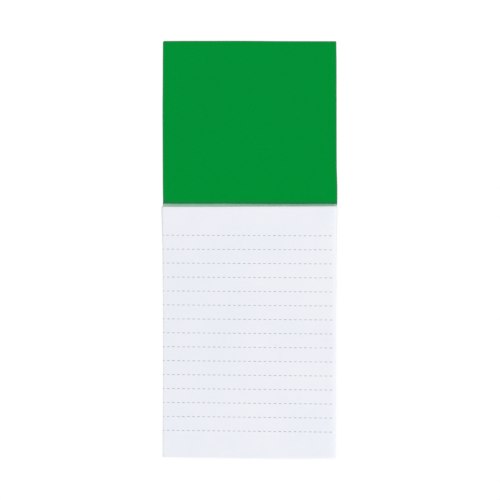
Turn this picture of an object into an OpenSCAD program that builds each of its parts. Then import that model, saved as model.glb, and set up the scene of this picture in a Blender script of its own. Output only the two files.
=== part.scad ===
// Fridge notepad: a long card with a block of ruled sheets bound to its lower part
// and a flexible magnet sheet on its back. It lies on its back, magnet down.
// Origin: centre of the footprint, at the lowest face. +X to the reader's right,
// +Y towards the bare header of the card, +Z out of the face that is written on.

/* [Card] */
// Width of the backing card
card_w = 80; // [60:1:110]
// Length of the backing card, header to foot
card_l = 192; // [170:1:260]
// Bare header of the card above the binding
header_l = 75; // [30:1:100]
// Thickness of the backing card
card_t = 1.2; // [0.6:0.1:2.5]
// Radius of the card's four corners
card_corner_r = 0.5; // [0.2:0.1:3]

/* [Pages] */
// How far the sheets' sides stay inside the card's sides
page_trim = 0.25; // [0:0.05:1]
// How far the bound end swells out on each side
page_flare = 0.8; // [0:0.1:1.5]
// Thickness of the whole block of sheets
pages_t = 4; // [1.5:0.1:12]

/* [Binding glue] */
// How far the glue reaches up the card from the sheets
glue_d = 1.3; // [0.8:0.1:3]
// Flat lip of the glue at the level of the top sheet
glue_lip = 0.3; // [0.1:0.1:0.7]

/* [Ruling] */
// Distance from one ruled line to the next
line_pitch = 6.43; // [5:0.01:12]
// Distance from the bound end to the first line
line_start = 13.25; // [5:0.05:30]
// Least bare paper left below the last line
line_foot = 12; // [4:0.5:30]
// Width of a ruled line
line_w = 0.2; // [0.1:0.05:0.6]
// Length of one dash
dash_l = 1.3; // [0.6:0.1:2]
// Distance from one dash to the next
dash_pitch = 2.35; // [2.2:0.05:4]
// Thickness of the printed ink
ink_t = 0.03; // [0.02:0.01:0.1]

/* [Magnet sheet] */
// Even border of bare card around the magnet sheet
magnet_border = 10; // [4:0.5:25]
// Thickness of the magnet sheet
magnet_t = 0.7; // [0.4:0.1:2]
// Radius of the magnet sheet's corners
magnet_corner_r = 3; // [0.5:0.1:4.5]

/* [Hidden] */
$fn = 48;

card_z = magnet_t;
pages_z = card_z + card_t;
face_z = pages_z + pages_t;
foot_y = -card_l / 2;
bound_y = card_l / 2 - header_l - glue_d;
page_l = bound_y - foot_y;
page_half = card_w / 2 - page_trim;
magnet_w = card_w - 2 * magnet_border;
magnet_l = card_l - 2 * magnet_border;

// The sheets' sides come in from the swollen bound end in a few easy steps.
// Each pair is a distance from the bound end and the share of the swelling left there.
swell_steps = [[0, 1], [6, 0.78], [16, 0.58], [30, 0.34], [46, 0.1], [56, 0]];

// The glue's rounded front is an arc from its foot on the card to its lip.
glue_run = glue_d - glue_lip;
glue_bulge = 0.22;
glue_chord = sqrt(glue_run * glue_run + pages_t * pages_t);
glue_arc_r = (glue_chord * glue_chord / 4 + glue_bulge * glue_bulge) / (2 * glue_bulge);
glue_set_back = (glue_arc_r - glue_bulge) / glue_chord;
glue_arc_y = glue_lip + glue_run / 2 - pages_t * glue_set_back;
glue_arc_z = pages_t / 2 - glue_run * glue_set_back;

// The ruling fills the sheet. A dash that the sheet's edge would cut to less than
// the width of its own line is left out.
line_count = 1 + floor((page_l - line_start - line_foot) / line_pitch);
dash_side = ceil(page_half / dash_pitch);

module rounded_sheet(w, l, t, r) {
    linear_extrude(t) {
        difference() {
            square([w, l], center = true);
            for (sx = [-1, 1], sy = [-1, 1])
                translate([sx * w / 2, sy * l / 2])
                    difference() {
                        square(2 * r, center = true);
                        translate([-sx * r, -sy * r]) circle(r);
                    }
        }
    }
}

module backing_card() {
    color([0.0, 0.57, 0.21])
        translate([0, 0, card_z])
            rounded_sheet(card_w, card_l, card_t, card_corner_r);
}

module page_block() {
    swell_right = [for (s = swell_steps) [page_half + page_flare * s[1], bound_y - s[0]]];
    swell_left = [for (i = [len(swell_steps) - 1:-1:0])
        [-page_half - page_flare * swell_steps[i][1], bound_y - swell_steps[i][0]]];
    color([0.93, 0.93, 0.95])
        translate([0, 0, pages_z])
            linear_extrude(pages_t)
                polygon(concat(swell_right, [[page_half, foot_y], [-page_half, foot_y]], swell_left));
}

module binding_glue() {
    color([0.68, 0.74, 0.7])
        translate([-card_w / 2, bound_y, pages_z])
            rotate([90, 0, 90])
                linear_extrude(card_w)
                    intersection() {
                        square([glue_d, pages_t]);
                        translate([glue_arc_y, glue_arc_z]) circle(glue_arc_r, $fn = 180);
                    }
}

module ruling_ink() {
    color([0.42, 0.43, 0.45])
        translate([0, bound_y - line_start, face_z])
            for (n = [0:line_count - 1], k = [-dash_side:dash_side]) {
                x0 = max(-page_half, k * dash_pitch - dash_l / 2);
                x1 = min(page_half, k * dash_pitch + dash_l / 2);
                if (x1 - x0 > line_w)
                    translate([x0, -n * line_pitch - line_w / 2, 0])
                        cube([x1 - x0, line_w, ink_t]);
            }
}

module magnet_sheet() {
    color([0.16, 0.15, 0.15])
        rounded_sheet(magnet_w, magnet_l, magnet_t, magnet_corner_r);
}

backing_card();
page_block();
binding_glue();
ruling_ink();
magnet_sheet();
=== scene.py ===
import math
import random

import bpy
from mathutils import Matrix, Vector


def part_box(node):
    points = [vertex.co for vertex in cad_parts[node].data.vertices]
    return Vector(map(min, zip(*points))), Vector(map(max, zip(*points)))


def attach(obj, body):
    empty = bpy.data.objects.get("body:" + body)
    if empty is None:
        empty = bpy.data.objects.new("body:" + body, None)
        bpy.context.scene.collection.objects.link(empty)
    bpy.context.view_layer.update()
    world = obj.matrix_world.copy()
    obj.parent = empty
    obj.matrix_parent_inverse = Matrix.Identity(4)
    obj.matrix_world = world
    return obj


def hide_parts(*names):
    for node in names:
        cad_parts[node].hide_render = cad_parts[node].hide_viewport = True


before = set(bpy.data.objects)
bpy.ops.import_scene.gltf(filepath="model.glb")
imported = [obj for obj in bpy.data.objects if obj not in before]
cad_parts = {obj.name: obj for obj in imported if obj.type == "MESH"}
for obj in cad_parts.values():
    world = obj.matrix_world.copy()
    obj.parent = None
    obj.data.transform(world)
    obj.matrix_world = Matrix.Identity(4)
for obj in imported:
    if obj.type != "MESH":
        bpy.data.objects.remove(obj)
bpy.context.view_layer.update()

MM = 0.001
rng = random.Random(20)


def box_mm(node):
    """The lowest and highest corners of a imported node, in millimetres."""
    return [[c / MM for c in corner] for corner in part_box(node)]


# All lengths below are in millimetres, and the edges and heights come from the solids.
card_lo, card_hi = box_mm("backing_card")
page_lo, page_hi = box_mm("page_block")
glue_lo, glue_hi = box_mm("binding_glue")
magnet_lo, magnet_hi = box_mm("magnet_sheet")
CARD_Z0, CARD_Z1 = card_lo[2], card_hi[2]
PAGE_Z0, PAGE_Z1 = page_lo[2], page_hi[2]
HALF_W = card_hi[0]
FOOT_Y, HEAD_Y = card_lo[1], card_hi[1]
BOUND_Y = page_hi[1]
GLUE_Y = glue_hi[1]


# Small tools
def smooth(t):
    t = min(1.0, max(0.0, t))
    return t * t * (3.0 - 2.0 * t)


def ramp(x, pairs):
    """Smooth interpolation through (x, value) pairs."""
    if x <= pairs[0][0]:
        return pairs[0][1]
    for (x0, v0), (x1, v1) in zip(pairs, pairs[1:]):
        if x <= x1:
            return v0 + (v1 - v0) * smooth((x - x0) / (x1 - x0))
    return pairs[-1][1]


def wave(seed, n, lo, hi):
    """A seeded sum of n sines of unit height, from lo to hi cycles per millimetre."""
    r = random.Random(seed)
    terms = [(r.uniform(lo, hi), r.uniform(0, math.tau), r.uniform(0.5, 1.0)) for _ in range(n)]
    total = sum(t[2] for t in terms)
    return lambda s: sum(a * math.sin(math.tau * f * s + p) for f, p, a in terms) / total


def crowded(n, power):
    """n + 1 places from -0.5 to 0.5 that crowd towards both ends."""
    places = []
    for k in range(n + 1):
        t = 2 * k / n - 1
        places.append(math.copysign(0.5 * (1 - (1 - abs(t)) ** power), t))
    return places


def mesh_piece(name, verts, faces, material, replaced, by_point=None, by_corner=None):
    """A mesh that rides on the one body and stands for the solids in replaced."""
    mesh = bpy.data.meshes.new(name)
    mesh.from_pydata([(x * MM, y * MM, z * MM) for x, y, z in verts], [], faces)
    for domain, layers in (("POINT", by_point), ("CORNER", by_corner)):
        for key, values in (layers or {}).items():
            mesh.attributes.new(key, "FLOAT", domain).data.foreach_set("value", values)
    mesh.polygons.foreach_set("use_smooth", [True] * len(mesh.polygons))
    mesh.update()
    mesh.validate()
    obj = bpy.data.objects.new(name, mesh)
    bpy.context.scene.collection.objects.link(obj)
    mesh.materials.append(material)
    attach(obj, "root")
    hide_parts(*replaced)
    return obj


def sharp_by_angle(obj, degrees):
    """Marks edges that turn more than the angle, so that flat faces stay flat."""
    mesh = obj.data
    normals = [p.normal.copy() for p in mesh.polygons]
    by_edge = {}
    for p in mesh.polygons:
        for key in p.edge_keys:
            by_edge.setdefault(key, []).append(p.index)
    limit = math.cos(math.radians(degrees))
    for e in mesh.edges:
        ids = by_edge.get(tuple(sorted(e.vertices)), [])
        if len(ids) == 2 and normals[ids[0]].dot(normals[ids[1]]) < limit:
            e.use_edge_sharp = True


# Materials
# The colours are linear, red, green, blue and alpha.
PAPER_COOL, PAPER_WARM = (0.829, 0.849, 0.906, 1), (0.841, 0.855, 0.908, 1)
# The first colour is a painted highlight for the sheet's right side. The second is painted shade with painted
# green light from the card, near the bound end.
PAPER_RIGHT_HIGHLIGHT, PAPER_BINDING_SHADE, PAPER_CUT = (0.866, 0.873, 0.914, 1), (0.76, 0.80, 0.76, 1), (0.765, 0.775, 0.80)
INK_SPECK, INK_FULL = (0.61, 0.62, 0.67, 1), (0.325, 0.325, 0.400, 1)
# The second green is painted shade along the card's rim.
GREEN_FACE, GREEN_RIM_SHADE, GREEN_NICK = (0.0, 0.256, 0.031, 1), (0.013, 0.212, 0.066, 1), (0.05, 0.30, 0.10, 1)
# Painted shade on the card along the foot of the glue bead, at its left and its right
GREEN_SHADE_LEFT, GREEN_SHADE_RIGHT = (0.020, 0.145, 0.076, 1), (0.015, 0.150, 0.079, 1)
GREEN_CUT_DARK, GREEN_CUT_PALE = (0.006, 0.165, 0.042, 1), (0.016, 0.21, 0.062, 1)
# The card's gloss is green too, because the photograph's green has no red in it.
GREEN_GLOSS = (0.02, 1.0, 0.2, 1.0)
# The glue's colours from the card up to the top sheet, with painted shade and painted green light from the
# card: darkest and greenest at the foot, palest higher up, and darker again right at the top sheet
GLUE_THICK_SHADED = [
    (0.00, (0.060, 0.450, 0.175)),
    (0.12, (0.160, 0.740, 0.390)),
    (0.40, (0.280, 0.760, 0.490)),
    (0.75, (0.410, 0.670, 0.520)),
    (0.92, (0.405, 0.600, 0.495)),
    (1.00, (0.290, 0.410, 0.345)),
]
GLUE_THIN_SHADED = [
    (0.00, (0.015, 0.440, 0.140)),
    (0.12, (0.045, 0.720, 0.320)),
    (0.40, (0.135, 0.720, 0.405)),
    (0.75, (0.320, 0.600, 0.455)),
    (0.92, (0.395, 0.560, 0.475)),
    (1.00, (0.320, 0.430, 0.375)),
]
GLUE_ENDS, GLUE_LAST = (0.49, 0.57, 0.50, 1), (0.72, 0.86, 0.75, 1)
MAGNET_DARK, MAGNET_PALE = (0.026, 0.023, 0.022, 1), (0.040, 0.036, 0.034, 1)
MAGNET_GRIT, MAGNET_DUST = (0.09, 0.085, 0.08, 1), (0.12, 0.115, 0.11, 1)


class Nodes:
    """Short-hand for building a node material."""

    def __init__(self, name):
        self.mat = bpy.data.materials.new(name)
        self.mat.use_nodes = True
        self.tree = self.mat.node_tree
        self.tree.nodes.clear()
        self.out = self.tree.nodes.new("ShaderNodeOutputMaterial")
        self.bsdf = self.tree.nodes.new("ShaderNodeBsdfPrincipled")
        self.link(self.bsdf.outputs["BSDF"], self.out.inputs["Surface"])
        self.coord = self.tree.nodes.new("ShaderNodeTexCoord").outputs["Object"]

    def link(self, a, b):
        self.tree.links.new(a, b)

    def put(self, socket, value):
        if isinstance(value, bpy.types.NodeSocket):
            self.link(value, socket)
        else:
            socket.default_value = value

    def mapped(self, scale, rotation=(0, 0, 0)):
        n = self.tree.nodes.new("ShaderNodeMapping")
        self.link(self.coord, n.inputs["Vector"])
        n.inputs["Scale"].default_value = scale
        n.inputs["Rotation"].default_value = rotation
        return n.outputs["Vector"]

    def noise(self, scale, detail=2.0, rough=0.5, vector=None):
        """Scale is in features per metre."""
        n = self.tree.nodes.new("ShaderNodeTexNoise")
        self.link(vector or self.coord, n.inputs["Vector"])
        n.inputs["Scale"].default_value = scale
        n.inputs["Detail"].default_value = detail
        n.inputs["Roughness"].default_value = rough
        return n.outputs["Fac"]

    def attr(self, name):
        n = self.tree.nodes.new("ShaderNodeAttribute")
        n.attribute_name = name
        return n.outputs["Fac"]

    def axis(self, which):
        n = self.tree.nodes.new("ShaderNodeSeparateXYZ")
        self.link(self.coord, n.inputs["Vector"])
        return n.outputs[which]

    def span(self, value, a, b, c, d):
        """Maps a..b to c..d and stays within it."""
        n = self.tree.nodes.new("ShaderNodeMapRange")
        self.put(n.inputs["Value"], value)
        for key, v in zip(("From Min", "From Max", "To Min", "To Max"), (a, b, c, d)):
            n.inputs[key].default_value = v
        return n.outputs["Result"]

    def math(self, op, a, b):
        n = self.tree.nodes.new("ShaderNodeMath")
        n.operation = op
        self.put(n.inputs[0], a)
        self.put(n.inputs[1], b)
        return n.outputs[0]

    def times(self, *factors):
        total = factors[0]
        for factor in factors[1:]:
            total = self.math("MULTIPLY", total, factor)
        return total

    def mix(self, fac, a, b):
        n = self.tree.nodes.new("ShaderNodeMix")
        n.data_type = "RGBA"
        self.put(n.inputs[0], fac)
        self.put(n.inputs[6], a)
        self.put(n.inputs[7], b)
        return n.outputs[2]

    def stops(self, value, pairs):
        n = self.tree.nodes.new("ShaderNodeValToRGB")
        self.link(value, n.inputs["Fac"])
        elements = n.color_ramp.elements
        while len(elements) < len(pairs):
            elements.new(0.5)
        for e, (pos, colour) in zip(elements, pairs):
            e.position = pos
            e.color = (*colour, 1.0)
        return n.outputs["Color"]

    def gain(self, colour, factor):
        """Multiplies a colour by a grey factor that varies over the surface."""
        n = self.tree.nodes.new("ShaderNodeVectorMath")
        n.operation = "SCALE"
        self.put(n.inputs[0], colour)
        self.put(n.inputs["Scale"], factor)
        return n.outputs[0]

    def bump(self, height, distance, strength=1.0, under=None):
        """Distance is in millimetres. under is the normal of a coarser bump."""
        n = self.tree.nodes.new("ShaderNodeBump")
        n.inputs["Strength"].default_value = strength
        n.inputs["Distance"].default_value = distance * MM
        self.link(height, n.inputs["Height"])
        if under is not None:
            self.link(under, n.inputs["Normal"])
        return n.outputs["Normal"]


def paper_material():
    m = Nodes("uncoated_paper")
    x, y = m.axis("X"), m.axis("Y")
    # Clouding of the pulp, the tooth of the surface, and fine fibres both ways.
    cloud = m.noise(45, 3.0, 0.55)
    tooth = m.noise(5200, 3.0, 0.6)
    fibre_a = m.noise(1900, 3.0, 0.6, m.mapped((1.0, 0.2, 1.0), (0, 0, 0.5)))
    fibre_b = m.noise(1900, 3.0, 0.6, m.mapped((0.2, 1.0, 1.0), (0, 0, 0.3)))
    fibres = m.math("MAXIMUM", fibre_a, fibre_b)
    # Painted light: the sheet is painted a little paler to the right, as if lit from there, with a painted
    # highlight along its trimmed right side and a thin one along its foot, and painted shade along its left
    # side. It also pales a little towards the foot.
    side_light_and_tone = m.times(
        m.span(x, -HALF_W * MM, HALF_W * MM, 0.997, 1.014),
        m.span(x, (HALF_W - 3.8) * MM, (HALF_W - 0.2) * MM, 1.0, 1.045),
        m.span(m.attr("left_shade"), 0.0, 1.0, 1.0, 0.88),
        m.span(y, FOOT_Y * MM, (FOOT_Y + 60) * MM, 1.018, 1.0),
        m.span(y, (FOOT_Y - 0.1) * MM, (FOOT_Y + 0.6) * MM, 1.035, 1.0),
    )
    tone = m.times(
        side_light_and_tone,
        m.span(cloud, 0.3, 0.7, 0.993, 1.007),
        m.span(fibres, 0.45, 0.75, 1.006, 0.984),
        m.span(m.attr("sheet_tone"), 0.0, 1.0, 0.93, 1.0),
    )
    base = m.mix(m.span(cloud, 0.35, 0.65, 0.0, 1.0), PAPER_COOL, PAPER_WARM)
    # Painted highlight: the outer strip of the sheet's right side is painted paler.
    right_highlight = m.span(x, (HALF_W - 1.9) * MM, (HALF_W - 0.7) * MM, 0.0, 1.0)
    base = m.mix(right_highlight, base, PAPER_RIGHT_HIGHLIGHT)
    # Painted shade and painted green light from the card darken and green the sheet for a short way from its
    # bound end.
    binding_shade = m.span(y, (BOUND_Y - 1.6) * MM, (BOUND_Y - 0.25) * MM, 0.0, 1.0)
    binding_shade = m.times(m.math("POWER", binding_shade, 2.0), 0.8)
    base = m.mix(binding_shade, base, PAPER_BINDING_SHADE)
    # Each sheet's cut edge is greyer than its faces, and the blade leaves fine upright marks.
    blade = m.noise(800, 3.0, 0.6, m.mapped((1.0, 1.0, 0.08)))
    cut_tone = m.times(m.span(m.attr("sheet_tone"), 0.0, 1.0, 0.76, 1.0), m.span(blade, 0.3, 0.7, 0.97, 1.02))
    base = m.mix(m.attr("cut_edge"), base, m.gain(PAPER_CUT, cut_tone))
    m.put(m.bsdf.inputs["Base Color"], m.gain(base, tone))
    m.put(m.bsdf.inputs["Roughness"], m.span(tooth, 0.3, 0.7, 0.82, 0.94))
    m.bsdf.inputs["Specular IOR Level"].default_value = 0.25
    coarse = m.bump(fibres, 0.014, 0.5)
    m.put(m.bsdf.inputs["Normal"], m.bump(tooth, 0.010, 0.6, coarse))
    return m.mat


def ink_material():
    m = Nodes("printed_ink")
    # The screen of the print leaves small pale specks in the grey.
    speck = m.noise(5200, 2.0, 0.6)
    patch = m.noise(260, 2.0, 0.5)
    density = m.times(
        m.span(speck, 0.42, 0.62, 1.0, 0.55),
        m.span(patch, 0.3, 0.7, 0.85, 1.0),
        m.span(m.attr("ink_load"), 0.0, 1.0, 0.8, 1.0),
    )
    m.put(m.bsdf.inputs["Base Color"], m.mix(density, INK_SPECK, INK_FULL))
    m.put(m.bsdf.inputs["Roughness"], m.span(speck, 0.3, 0.7, 0.6, 0.8))
    m.bsdf.inputs["Specular IOR Level"].default_value = 0.2
    m.put(m.bsdf.inputs["Normal"], m.bump(speck, 0.004, 0.5))
    return m.mat


def card_material():
    m = Nodes("green_card")
    edge, rim_shade = m.attr("cut_edge"), m.attr("rim_shade")
    cloud = m.noise(28, 2.0, 0.5)
    mottle = m.noise(650, 4.0, 0.65)
    grain = m.noise(5600, 3.0, 0.6, m.mapped((0.6, 1.0, 1.0)))
    tone = m.times(
        m.span(cloud, 0.3, 0.7, 0.99, 1.01),
        m.span(mottle, 0.3, 0.7, 0.98, 1.02),
        m.span(grain, 0.3, 0.7, 0.90, 1.10),
    )
    # Painted shade: the printed face is painted darker and greyer along its rim.
    face = m.mix(m.times(rim_shade, 0.85), GREEN_FACE, GREEN_RIM_SHADE)
    face = m.gain(face, tone)
    # Painted shade: a narrow band of the card along the foot of the glue bead is painted darker and greyer,
    # where shade falls beside the bead.
    shade_reach = m.math("ADD", m.axis("Y"), m.span(m.noise(420, 2.0, 0.5), 0.3, 0.7, -0.2 * MM, 0.2 * MM))
    shade_reach = m.math("ADD", shade_reach, m.span(m.axis("X"), -HALF_W * MM, (1.6 - HALF_W) * MM, -1.6 * MM, 0.0))
    bead_foot_shade = m.span(shade_reach, (GLUE_Y - 0.2) * MM, (GLUE_Y + 1.6) * MM, 1.0, 0.0)
    bead_foot_shade = m.times(m.math("POWER", bead_foot_shade, 1.3), m.attr("front"))
    along = m.span(m.axis("X"), -0.3 * HALF_W * MM, 0.8 * HALF_W * MM, 0.0, 1.0)
    face = m.mix(bead_foot_shade, face, m.mix(along, GREEN_SHADE_LEFT, GREEN_SHADE_RIGHT))
    # Handling leaves a few pale nicks in the print, right at the card's edge.
    nicks = m.times(m.attr("worn"), m.span(m.noise(1700, 3.0, 0.7), 0.60, 0.72, 0.0, 0.45))
    face = m.mix(nicks, face, GREEN_NICK)
    # The cut edge shows the layers of the board.
    layers = m.noise(2600, 3.0, 0.6, m.mapped((0.06, 0.06, 1.6)))
    fibres = m.mix(m.span(layers, 0.35, 0.65, 0.0, 1.0), GREEN_CUT_DARK, GREEN_CUT_PALE)
    m.put(m.bsdf.inputs["Base Color"], m.mix(edge, face, fibres))
    rough = m.span(mottle, 0.3, 0.7, 0.50, 0.64)
    m.put(m.bsdf.inputs["Roughness"], m.math("MAXIMUM", rough, m.span(edge, 0.0, 1.0, 0.0, 0.9)))
    m.bsdf.inputs["Specular IOR Level"].default_value = 0.25
    m.bsdf.inputs["Specular Tint"].default_value = GREEN_GLOSS
    coarse = m.bump(mottle, 0.03, 0.5)
    m.put(m.bsdf.inputs["Normal"], m.bump(grain, 0.03, 0.8, coarse))
    return m.mat


def glue_material():
    m = Nodes("padding_glue")
    # The milky glue lets a little of the card through where it is thin at its foot, and painted shade and
    # painted green light from the card darken and green it there. It is paler up towards the top sheet.
    streak = m.noise(500, 3.0, 0.6, m.mapped((0.25, 1.0, 1.0)))
    height = m.span(m.axis("Z"), CARD_Z1 * MM, PAGE_Z1 * MM, 0.0, 1.0)
    height = m.math("ADD", height, m.span(streak, 0.3, 0.7, -0.035, 0.035))
    thick, thin = m.stops(height, GLUE_THICK_SHADED), m.stops(height, GLUE_THIN_SHADED)
    # It is thinner and greener towards the right, and thick and greyer at both ends.
    x = m.axis("X")
    colour = m.mix(m.span(x, -5 * MM, 0.7 * HALF_W * MM, 0.0, 1.0), thick, thin)
    left_end = m.span(x, -HALF_W * MM, (-HALF_W + 6) * MM, 0.5, 0.0)
    right_end = m.span(x, (HALF_W - 5) * MM, HALF_W * MM, 0.0, 0.5)
    colour = m.mix(m.math("ADD", left_end, right_end), colour, GLUE_ENDS)
    colour = m.mix(m.span(x, (HALF_W - 1.4) * MM, HALF_W * MM, 0.0, 0.6), colour, GLUE_LAST)
    # The sheets' ends show through as fine lines.
    sheet_ends = m.noise(9000, 2.0, 0.5, m.mapped((0.02, 0.3, 1.0)))
    tone = m.times(m.span(streak, 0.3, 0.7, 0.96, 1.04), m.span(sheet_ends, 0.3, 0.7, 0.95, 1.05))
    m.put(m.bsdf.inputs["Base Color"], m.gain(colour, tone))
    m.put(m.bsdf.inputs["Roughness"], m.span(streak, 0.3, 0.7, 0.38, 0.56))
    m.bsdf.inputs["Specular IOR Level"].default_value = 0.35
    coarse = m.bump(streak, 0.04, 0.4)
    m.put(m.bsdf.inputs["Normal"], m.bump(sheet_ends, 0.02, 0.5, coarse))
    return m.mat


def magnet_material():
    m = Nodes("flexible_magnet")
    grit = m.noise(3200, 4.0, 0.65)
    drawn = m.noise(1400, 3.0, 0.6, m.mapped((1.0, 0.02, 1.0)))
    cloud = m.noise(60, 3.0, 0.6)
    dust = m.times(m.attr("worn"), m.span(m.noise(1400, 3.0, 0.7), 0.45, 0.7, 0.0, 0.8))
    base = m.mix(m.span(cloud, 0.35, 0.65, 0.0, 1.0), MAGNET_DARK, MAGNET_PALE)
    base = m.mix(m.span(grit, 0.6, 0.75, 0.0, 0.5), base, MAGNET_GRIT)
    m.put(m.bsdf.inputs["Base Color"], m.mix(dust, base, MAGNET_DUST))
    m.put(m.bsdf.inputs["Roughness"], m.span(drawn, 0.3, 0.7, 0.48, 0.66))
    m.bsdf.inputs["Specular IOR Level"].default_value = 0.45
    lines = m.bump(drawn, 0.02, 0.5)
    m.put(m.bsdf.inputs["Normal"], m.bump(grit, 0.01, 0.6, lines))
    return m.mat


PAPER = paper_material()
INK = ink_material()
CARD = card_material()
GLUE = glue_material()
MAGNET = magnet_material()

# The sheets
SHEETS = 40
PITCH = (PAGE_Z1 - PAGE_Z0) / SHEETS
SHEET_T = PITCH * 0.9
# The block sits a little to the left on the card.
SHIFT = -0.06
BODY_HALF = 39.85
# How far the sides swell out, by distance from the bound end.
SWELL_LEFT = [(0, 0.60), (1, 0.74), (3, 0.66), (8.5, 0.43), (22, 0.18), (36, 0.06), (54, -0.16), (74, -0.16),
              (90, -0.01), (108, 0.13)]
SWELL_RIGHT = [(0, 0.58), (3, 0.56), (8.5, 0.42), (22, 0.13), (36, 0.10), (60, -0.10), (92, -0.08),
               (116, -0.30)]
# The glue holds the uppermost sheets less, so that they swell less.
TOP_FLARE = (0.86, 0.74, 0.62, 0.52)
# Sheets that were jogged together shift and tone alike.
BUNDLE, JOG, BUNDLE_TONE, TONE_SPREAD = 7, 0.04, (0.2, 0.8), 0.3
# How far a sheet strays from its bundle: sideways, in width, at its foot and at its bound end
STRAY_X, STRAY_W, STRAY_FOOT, STRAY_BOUND = 0.018, (-0.02, 0.012), (-0.035, 0.03), (-0.03, 0.0)
# The cut edges waver by this much, at this many waves a millimetre.
WAVER, WAVER_RATE = 0.012, (0.05, 0.3)
# Cells across and along the top sheet and the others, and how much they crowd to the edges
TOP_GRID, LOWER_GRID, CROWD_ACROSS, CROWD_ALONG = (48, 64), (10, 44), 1.6, 1.5
# The sheets' buckle, and how far from the bound end it is free
BUCKLE, HELD_FLAT = 0.035, 70.0
# The strip that the blade turned down at the sides and the foot: its width and its drop
TURNED_SIDE, SIDE_DROP, SIDE_LIMIT = 1.1, 0.075, 1.6
TURNED_FOOT, FOOT_DROP = 1.2, 0.03
# The free corners' lift at the left and the right, and how far it reaches
LIFT_LEFT, LIFT_RIGHT, LIFT_REACH = 0.06, 0.10, 26.0
# The trimmed foot: how far below the card's, its tilt, its bow, and the bow's place
FOOT_BELOW, FOOT_TILT, FOOT_BOW, BOW_AT = 0.38, 0.14, 0.34, 0.30
# How far the bound end stands below the block's own, by place along it
BOUND_OFF = [(-40, -0.30), (-34, -0.315), (-27, -0.35), (-20, -0.34), (-12, -0.29), (0, -0.23), (25, -0.18),
             (33, -0.125)]
# Width of the painted shade along each sheet's left side
LEFT_SHADE_W = 0.65
buckle_x = wave(3, 4, 0.008, 0.022)
buckle_y = wave(4, 4, 0.006, 0.016)


def bound_line(x):
    """The sheets' bound end, a hair lower at the left than at the right."""
    return BOUND_Y + ramp(x, BOUND_OFF)


def foot_line(x):
    """The trimmed foot bows a little below a straight line."""
    t = x / HALF_W
    return FOOT_Y - FOOT_BELOW - FOOT_TILT * t + FOOT_BOW * (t - BOW_AT) ** 2


def lift(x, y, share):
    """How far a sheet at this share of the stack's height leaves its flat place."""
    from_foot = y - FOOT_Y
    free = smooth((BOUND_Y - y) / HELD_FLAT)
    z = BUCKLE * free * (buckle_x(x + 0.4 * y) + buckle_y(y - 0.2 * x)) * share
    # The blade has turned the sides and the foot down.
    side = (abs(x - SHIFT) - (BODY_HALF - TURNED_SIDE)) / TURNED_SIDE
    z -= SIDE_DROP * min(max(side, 0.0), SIDE_LIMIT) ** 2 * share * share
    foot = max(0.0, 1.0 - from_foot / TURNED_FOOT)
    z -= FOOT_DROP * foot ** 2 * share * share
    # The free corners of the last few sheets stand up a touch.
    corner = max(0.0, 1.0 - math.hypot(abs(x) - BODY_HALF, from_foot) / LIFT_REACH)
    z += (LIFT_RIGHT if x > 0 else LIFT_LEFT) * corner ** 2 * share ** 6
    return z


def upper_face(i, x, y):
    """Height of the upper face of sheet i."""
    return PAGE_Z0 + PITCH * (i + 0.5) + SHEET_T / 2 + lift(x, y, (i + 1) / SHEETS)


def sheet_outline(i, jog):
    """A function that places sheet i: u runs -0.5..0.5 across it, v 0..1 from the bound end."""
    top = i == SHEETS - 1
    in_top = i - (SHEETS - len(TOP_FLARE))
    flare = 1.0 if in_top < 0 else TOP_FLARE[in_top]
    dx = SHIFT if top else SHIFT + jog + rng.uniform(-STRAY_X, STRAY_X)
    dw = 0.0 if top else rng.uniform(*STRAY_W)
    d_foot = 0.0 if top else rng.uniform(*STRAY_FOOT)
    d_bound = 0.0 if top else rng.uniform(*STRAY_BOUND)
    waver_l, waver_r, waver_foot = [wave(seed + i, 3, *WAVER_RATE) for seed in (100, 200, 300)]

    def place(u, v):
        from_bound = (BOUND_Y - FOOT_Y) * v
        out_l = flare * ramp(from_bound, SWELL_LEFT)
        out_r = flare * ramp(from_bound, SWELL_RIGHT)
        waver = WAVER * (waver_l(from_bound) * (0.5 - u) + waver_r(from_bound) * (0.5 + u))
        x = dx + u * 2 * (BODY_HALF + dw) + (u + 0.5) * out_r - (0.5 - u) * out_l + waver
        y0 = bound_line(x) + d_bound
        y1 = foot_line(x) + d_foot + WAVER * waver_foot(x)
        return x, y0 + (y1 - y0) * v

    return place


def add_sheet(verts, faces, cut, left_shade, i, place):
    """One closed thin sheet: an upper and a lower grid joined by the cut edge."""
    nx, ny = TOP_GRID if i == SHEETS - 1 else LOWER_GRID
    across = crowded(nx, CROWD_ACROSS)
    grid = [place(u, v + 0.5) for v in crowded(ny, CROWD_ALONG) for u in across]
    start, size, w = len(verts), len(grid), nx + 1
    for drop in (0.0, SHEET_T):
        verts.extend((x, y, upper_face(i, x, y) - drop) for x, y in grid)
        # Painted shade along each sheet's left side, fading out across this strip
        left_shade.extend([max(0.0, 1 - (u + 0.5) * 2 * BODY_HALF / LEFT_SHADE_W) for u in across] * (ny + 1))
    for r in range(ny):
        for c in range(nx):
            a = start + r * w + c
            faces.append((a, a + w, a + w + 1, a + 1))
            a += size
            faces.append((a, a + 1, a + w + 1, a + w))
            cut.extend([0.0] * 8)
    ring = [(r, 0) for r in range(ny + 1)] + [(ny, c) for c in range(1, nx + 1)]
    ring += [(r, nx) for r in range(ny - 1, -1, -1)] + [(0, c) for c in range(nx - 1, 0, -1)]
    ring = [start + r * w + c for r, c in ring]
    for a, b in zip(ring, ring[1:] + ring[:1]):
        faces.append((a, a + size, b + size, b))
        cut.extend([1.0] * 4)


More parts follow.
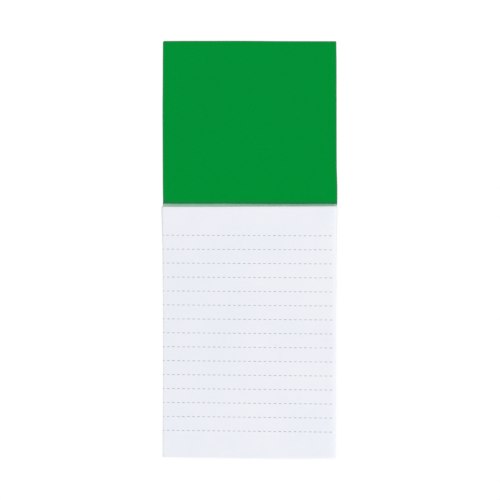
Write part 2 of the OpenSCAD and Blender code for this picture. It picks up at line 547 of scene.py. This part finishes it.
def build_sheets():
    verts, faces, cut, tone, left_shade = [], [], [], [], []
    for i in range(SHEETS):
        if i % BUNDLE == 0:
            jog = rng.uniform(-JOG, JOG)
            bundle_tone = rng.uniform(*BUNDLE_TONE)
        add_sheet(verts, faces, cut, left_shade, i, sheet_outline(i, jog))
        own_tone = min(1.0, max(0.0, bundle_tone + rng.uniform(-TONE_SPREAD, TONE_SPREAD)))
        tone.extend([1.0 if i == SHEETS - 1 else own_tone] * (len(verts) - len(tone)))
    sheets = mesh_piece("page_sheets", verts, faces, PAPER, ["page_block"],
                        {"sheet_tone": tone, "left_shade": left_shade}, {"cut_edge": cut})
    sharp_by_angle(sheets, 40)


# The ruling on the top sheet
LINES, FIRST, STEP = 15, 13.51, 6.43
DASH, DASH_STEP, DASH_W = 1.27, 2.338, 0.29
LEAST_DASH = 0.2
# The print runs off the sheet's left side and stops short of its right side.
PRINT_LEFT, PRINT_RIGHT = -39.88, 38.9
# It sits very slightly askew: each line's drop over the width, at the first and more at the last.
SLANT, MORE_SLANT = 0.3, 0.62
# The first and last lines start further left than the middle ones.
DRIFT, DRIFT_BACK, DRIFT_LINE, DRIFT_SPREAD = 0.01, 0.23, 8, 7
# How far one dash differs from the next, in place, length, width and ink
VARY_X, VARY_LENGTH, VARY_WIDTH, VARY_INK = 0.02, 0.06, (0.9, 1.08), (0.35, 1.0)
DASH_PARTS = 6
# A dash is this wide at its very ends, and its sides waver by this share.
DASH_TIP, DASH_TAPER, DASH_WAVER = 0.45, 6, 0.07
INK_T, INK_SUNK = 0.012, 0.004


def add_dash(verts, faces, x0, x1, y_at, width):
    """One dash of ink as a thin closed strip with drawn-in ends."""
    start = len(verts)
    for s in range(DASH_PARTS + 1):
        t = s / DASH_PARTS
        x = x0 + (x1 - x0) * t
        end = min(1.0, min(t, 1 - t) * DASH_TAPER + DASH_TIP)
        half = width / 2 * end * (1 + rng.uniform(-DASH_WAVER, DASH_WAVER))
        y = y_at(x)
        z = upper_face(SHEETS - 1, x, y)
        for dy, dz in ((half, -INK_SUNK), (half, INK_T), (-half, INK_T), (-half, -INK_SUNK)):
            verts.append((x, y + dy, z + dz))
    for s in range(DASH_PARTS):
        a, b = start + 4 * s, start + 4 * s + 4
        for j in range(4):
            q = (j + 1) % 4
            faces.append((a + j, a + q, b + q, b + j))
    last = start + 4 * DASH_PARTS
    faces.append((start + 3, start + 2, start + 1, start))
    faces.append((last, last + 1, last + 2, last + 3))


def build_ruling():
    verts, faces, load = [], [], []
    each_side = int(HALF_W / DASH_STEP) + 1
    for n in range(LINES):
        y_mid = BOUND_Y - FIRST - n * STEP
        slope = -(SLANT + MORE_SLANT * n / (LINES - 1)) / (2 * HALF_W)
        drift = DRIFT - DRIFT_BACK * ((n - DRIFT_LINE) / DRIFT_SPREAD) ** 2
        for k in range(-each_side, each_side + 1):
            centre = drift + k * DASH_STEP + rng.uniform(-VARY_X, VARY_X)
            length = DASH + rng.uniform(-VARY_LENGTH, VARY_LENGTH)
            x0, x1 = max(PRINT_LEFT, centre - length / 2), min(PRINT_RIGHT, centre + length / 2)
            if x1 - x0 > LEAST_DASH:
                add_dash(verts, faces, x0, x1, lambda x: y_mid + slope * x, DASH_W * rng.uniform(*VARY_WIDTH))
                load.extend([rng.uniform(*VARY_INK)] * (len(verts) - len(load)))
    ruling = mesh_piece("ruling_print", verts, faces, INK, ["ruling_ink"], {"ink_load": load})
    sharp_by_angle(ruling, 40)


# The card and the magnet sheet
# Corner radii run anticlockwise from the lower right. The upper left corner is worn rounder.
CARD_CORNERS, CARD_EDGE, CARD_FRAY, CARD_SPACING = (0.5, 0.4, 0.8, 0.5), 0.16, 0.012, 2.0
MAGNET_CORNERS, MAGNET_EDGE, MAGNET_FRAY, MAGNET_SPACING = (3.0, 3.0, 3.0, 3.0), 0.12, 0.008, 3.0
# How far the card's two sides stand out of square, by place along the card: the left side's
# x and the right side's x. It was trimmed with the sheets below the binding.
LEFT_OFF = [(FOOT_Y, 0.26), (-20, 0.22), (12, 0.12), (21, -0.01), (30, -0.12), (42, -0.17), (64, -0.235),
            (82, -0.13), (96, -0.055)]
RIGHT_OFF = [(FOOT_Y, -0.45), (-20, -0.40), (12, 0.0), (19.7, 0.33), (22, 0.53), (28, 0.53), (33, 0.40),
             (38, 0.26), (48, 0.22), (64, 0.195), (86, 0.172), (96, 0.065)]
# The header's cut end dips a little from the left to the right.
HEAD_OFF = [(-40, 0.10), (-28, 0.15), (-4, 0.17), (13, 0.04), (40, -0.01)]
# The card's foot ends this much above the solid's.
FOOT_BARE = 0.25
# How far in from the edge the faces' rings of points lie, the last as a share of the edge's radius
RING_INSETS, LAST_RING = (6.0, 2.2, 0.9), 2.2
ARC_STEPS, ROUND_STEPS, WALL_STEPS = 8, 4, 4
# How far in the painted shade along the rim reaches, and the nicks as a share of the edge's radius
RIM_SHADE_W, WORN_W = 0.6, 2
fray = wave(9, 5, 0.15, 0.6)


def rounded_outline(half_w, y_lo, y_hi, radii, spacing):
    """Points round a rectangle with rounded corners, anticlockwise."""
    places = ((half_w, y_lo), (half_w, y_hi), (-half_w, y_hi), (-half_w, y_lo))
    middle = (y_lo + y_hi) / 2
    arcs = []
    for turn, ((x, y), r) in enumerate(zip(places, radii)):
        cx, cy = x - math.copysign(r, x), y - math.copysign(r, y - middle)
        angles = [math.pi / 2 * (turn - 1 + k / ARC_STEPS) for k in range(ARC_STEPS + 1)]
        arcs.append([(cx + r * math.cos(a), cy + r * math.sin(a)) for a in angles])
    points = []
    for arc, after in zip(arcs, arcs[1:] + arcs[:1]):
        points.extend(arc)
        (x0, y0), (x1, y1) = arc[-1], after[0]
        run = int(math.hypot(x1 - x0, y1 - y0) / spacing)
        points.extend((x0 + (x1 - x0) * k / run, y0 + (y1 - y0) * k / run) for k in range(1, run))
    return points


def inward(points, amount):
    """Draws a closed outline in by the same amount at its sides and its ends."""
    xs, ys = [p[0] for p in points], [p[1] for p in points]
    cx, cy = (min(xs) + max(xs)) / 2, (min(ys) + max(ys)) / 2
    kx = 1 - 2 * amount / (max(xs) - min(xs))
    ky = 1 - 2 * amount / (max(ys) - min(ys))
    return [(cx + (x - cx) * kx, cy + (y - cy) * ky) for x, y in points]


def edge_rings(z0, z1, edge_r):
    """(inset, height, cut share) of each ring from the upper face down round the edge."""
    quarter = [math.pi / 2 * k / ROUND_STEPS for k in range(ROUND_STEPS + 1)]
    insets = (*RING_INSETS, edge_r * LAST_RING)
    wall = z0 - z1 + 2 * edge_r
    rings = [(inset, z1, 0.0) for inset in insets]
    rings += [(edge_r * (1 - math.sin(a)), z1 - edge_r * (1 - math.cos(a)), math.sin(a)) for a in quarter]
    rings += [(0.0, z1 - edge_r + wall * k / WALL_STEPS, 1.0) for k in range(1, WALL_STEPS)]
    rings += [(edge_r * (1 - math.cos(a)), z0 + edge_r * (1 - math.sin(a)), math.cos(a)) for a in quarter]
    rings += [(inset, z0, 0.0) for inset in reversed(insets)]
    return rings


def board(name, points, z0, z1, edge_r, roughness, material, replaced):
    """A board with softened, slightly frayed edges, closed by one face above and below."""
    n = len(points)
    rings = edge_rings(z0, z1, edge_r)
    verts, cut, rim_shade, worn, front = [], [], [], [], []
    for inset, z, cut_share in rings:
        for x, y in inward(points, inset):
            off = roughness * fray(x + 1.3 * y + 5 * z) if cut_share > 0.5 else 0.0
            verts.append((x + off, y + off, z))
        cut.extend([cut_share] * n)
        # Points near the rim get the painted shade on the card's face.
        rim_shade.extend([1.0 if inset < RIM_SHADE_W else 0.0] * n)
        worn.extend([1.0 if inset < edge_r * WORN_W else 0.0] * n)
        front.extend([1.0 if z > (z0 + z1) / 2 else 0.0] * n)
    faces = []
    for r in range(len(rings) - 1):
        for k in range(n):
            a, b = r * n + k, r * n + (k + 1) % n
            faces.append((a, a + n, b + n, b))
    faces.append(tuple(range(n)))
    faces.append(tuple(reversed(range(len(verts) - n, len(verts)))))
    piece = mesh_piece(name, verts, faces, material, replaced,
                       {"cut_edge": cut, "rim_shade": rim_shade, "worn": worn, "front": front})
    sharp_by_angle(piece, 50)


def card_outline():
    points = []
    for x, y in rounded_outline(HALF_W, FOOT_Y + FOOT_BARE, HEAD_Y, CARD_CORNERS, CARD_SPACING):
        side = (x + HALF_W) / (2 * HALF_W)
        x += ramp(y, LEFT_OFF) * (1 - side) + ramp(y, RIGHT_OFF) * side
        points.append((x, y + (ramp(x, HEAD_OFF) if y > 0 else 0.0)))
    return points


def build_boards():
    board("green_card", card_outline(), CARD_Z0, CARD_Z1, CARD_EDGE, CARD_FRAY,
          CARD, ["backing_card"])
    outline = rounded_outline(magnet_hi[0], magnet_lo[1], magnet_hi[1], MAGNET_CORNERS, MAGNET_SPACING)
    board("magnet_sheet_skin", outline, magnet_lo[2], magnet_hi[2], MAGNET_EDGE, MAGNET_FRAY,
          MAGNET, ["magnet_sheet"])


# The bead of glue along the bound end
RIBS, PROFILE = 260, 14
# How far the bead reaches up the card, by place along it.
REACH = [(-40, 1.56), (-34, 1.60), (-27, 1.68), (-20, 1.64), (-12, 1.59), (-4, 1.54), (1, 1.45), (20, 1.40),
         (33, 1.42), (40, 1.32)]
# The bead's two ends at the card, and how far the left one runs out to the sheets' corner.
END_LEFT, END_RIGHT, RUN_OUT = -39.90, 40.32, 0.42
END_ROUNDING, LEAST_END = 0.25, 0.12
# The extra reach at the very left, and the reach's slow and quick unevenness
LEFT_EXTRA, LEFT_FADE, SLOW_WAVE, QUICK_WAVE = 0.15, 14, 0.05, 0.02
# The bead's section as shares of its reach: lip, slope, bulge and the scale of the last two
LIP, SLOPE, BULGE, SECTION, LEAST_OUT = 0.16, 0.8, 0.34, 1.05, 0.03
BEAD_BACK = -0.10
# The bead's front and its back end this much below the top sheet's level.
FRONT_BELOW, BACK_BELOW = 0.03, 0.02
bead_depth = wave(21, 5, 0.02, 0.12)
bead_ripple = wave(22, 5, 0.2, 0.7)


def bead_reach(t):
    """The bead's reach at t along it from the left, thicker at its left end."""
    x = (2 * t - 1) * HALF_W
    reach = ramp(x, REACH) + LEFT_EXTRA * max(0.0, 1 - t * LEFT_FADE)
    reach = reach + SLOW_WAVE * bead_depth(x) + QUICK_WAVE * bead_ripple(x)
    # Each end rounds off.
    end = min(1.0, min(t, 1 - t) * 2 * HALF_W / END_ROUNDING)
    return reach * max(LEAST_END, math.sqrt(1 - (1 - end) ** 2))


def build_glue():
    verts, faces = [], []
    for s in range(RIBS + 1):
        t = s / RIBS
        reach = bead_reach(t)
        rib = []
        # From the foot on the card up to the lip beside the top sheet.
        for p in range(PROFILE + 1):
            q = p / PROFILE
            z = CARD_Z1 + (PAGE_Z1 - FRONT_BELOW - CARD_Z1) * q
            bulge = BULGE * math.sin(math.pi * q) * (0.55 + 0.45 * q)
            out = LIP + (SLOPE - SLOPE * q + bulge) * SECTION
            left = END_LEFT - RUN_OUT * q ** 5
            x = left + (END_RIGHT - left) * t
            rib.append((x, bound_line(x) + reach * max(LEAST_OUT, out), z))
        x = rib[-1][0]
        rib.append((x, bound_line(x) + BEAD_BACK, PAGE_Z1 - BACK_BELOW))
        x = rib[0][0]
        rib.append((x, bound_line(x) + BEAD_BACK, CARD_Z1))
        verts.extend(rib)
    m = PROFILE + 3
    for s in range(RIBS):
        for p in range(m):
            a, b = s * m + p, s * m + (p + 1) % m
            faces.append((a, b, b + m, a + m))
    faces.append(tuple(reversed(range(m))))
    faces.append(tuple(RIBS * m + p for p in range(m)))
    sharp_by_angle(mesh_piece("glue_bead", verts, faces, GLUE, ["binding_glue"]), 50)


# The stage
FLOOR_SIDE, FLOOR_BELOW, FLOOR_GREY = 8, -0.02, 0.9
FLOOR_GLOW, GLOW_SHARE = 1.03, 0.90
WORLD_STRENGTH = 0.36
# Each lamp's place and side in metres, and its power in watts
KEY_LAMP = (-0.1, 0.25, 1.6), 1.1, 15.3
FILL_LAMP = (0.25, -0.3, 1.8), 1.3, 5.3


def highest_of(tree, sockets):
    total = sockets[0]
    for s in sockets[1:]:
        n = tree.nodes.new("ShaderNodeMath")
        n.operation = "MAXIMUM"
        tree.links.new(total, n.inputs[0])
        tree.links.new(s, n.inputs[1])
        total = n.outputs[0]
    return total


def build_floor():
    """A pale floor that looks white where it is seen and keeps the object's shadow."""
    material = bpy.data.materials.new("pale_floor")
    material.use_nodes = True
    tree = material.node_tree
    tree.nodes.clear()
    out = tree.nodes.new("ShaderNodeOutputMaterial")
    diffuse = tree.nodes.new("ShaderNodeBsdfDiffuse")
    diffuse.inputs["Color"].default_value = (FLOOR_GREY, FLOOR_GREY, FLOOR_GREY, 1)
    glow = tree.nodes.new("ShaderNodeEmission")
    glow.inputs["Strength"].default_value = FLOOR_GLOW
    mixer = tree.nodes.new("ShaderNodeMixShader")
    path = tree.nodes.new("ShaderNodeLightPath")
    rays = ("Is Camera", "Is Glossy", "Is Transmission")
    seen = highest_of(tree, [path.outputs[ray + " Ray"] for ray in rays])
    share = tree.nodes.new("ShaderNodeMath")
    share.operation = "MULTIPLY"
    share.inputs[1].default_value = GLOW_SHARE
    tree.links.new(seen, share.inputs[0])
    tree.links.new(share.outputs[0], mixer.inputs["Fac"])
    tree.links.new(diffuse.outputs[0], mixer.inputs[1])
    tree.links.new(glow.outputs[0], mixer.inputs[2])
    tree.links.new(mixer.outputs[0], out.inputs["Surface"])
    bpy.ops.mesh.primitive_plane_add(size=FLOOR_SIDE, location=(0, 0, FLOOR_BELOW * MM))
    floor = bpy.context.object
    floor.name = "floor"
    floor.data.materials.append(material)


def build_world():
    world = bpy.data.worlds.new("studio")
    bpy.context.scene.world = world
    world.use_nodes = True
    tree = world.node_tree
    tree.nodes.clear()
    out = tree.nodes.new("ShaderNodeOutputWorld")
    soft = tree.nodes.new("ShaderNodeBackground")
    soft.inputs["Color"].default_value = (1, 1, 1, 1)
    soft.inputs["Strength"].default_value = WORLD_STRENGTH
    white = tree.nodes.new("ShaderNodeBackground")
    white.inputs["Color"].default_value = (1, 1, 1, 1)
    mixer = tree.nodes.new("ShaderNodeMixShader")
    path = tree.nodes.new("ShaderNodeLightPath")
    seen = highest_of(tree, [path.outputs[ray + " Ray"] for ray in ("Is Camera", "Is Transmission")])
    tree.links.new(seen, mixer.inputs["Fac"])
    tree.links.new(soft.outputs[0], mixer.inputs[1])
    tree.links.new(white.outputs[0], mixer.inputs[2])
    tree.links.new(mixer.outputs[0], out.inputs["Surface"])


def area_lamp(name, location, size, power):
    """A square lamp, in metres and watts, aimed at the origin."""
    data = bpy.data.lights.new(name, "AREA")
    data.shape = "SQUARE"
    data.size = size
    data.energy = power
    lamp = bpy.data.objects.new(name, data)
    bpy.context.scene.collection.objects.link(lamp)
    lamp.location = location
    lamp.rotation_euler = (-lamp.location.normalized()).to_track_quat("-Z", "Y").to_euler()


# The camera looks straight down, and its scale is that of the photograph at the card's face.
CAMERA_X, CAMERA_Y, CAMERA_UP = 0.18, -0.47, 1000.0
PX_PER_MM, IMAGE_PX, SENSOR = 2.165, 500, 36.0
# The nearest and farthest distances that the camera sees, in metres
CLIP = 0.01, 50.0


def build_camera():
    data = bpy.data.cameras.new("camera")
    data.sensor_width = SENSOR
    data.lens = SENSOR * CAMERA_UP * PX_PER_MM / IMAGE_PX
    data.clip_start, data.clip_end = CLIP
    camera = bpy.data.objects.new("camera", data)
    bpy.context.scene.collection.objects.link(camera)
    camera.location = (CAMERA_X * MM, CAMERA_Y * MM, (CARD_Z1 + CAMERA_UP) * MM)
    bpy.context.scene.camera = camera


build_sheets()
build_ruling()
build_boards()
build_glue()
build_floor()
build_world()
area_lamp("key", *KEY_LAMP)
area_lamp("fill", *FILL_LAMP)
build_camera()

bpy.context.scene.view_settings.view_transform = "Standard"
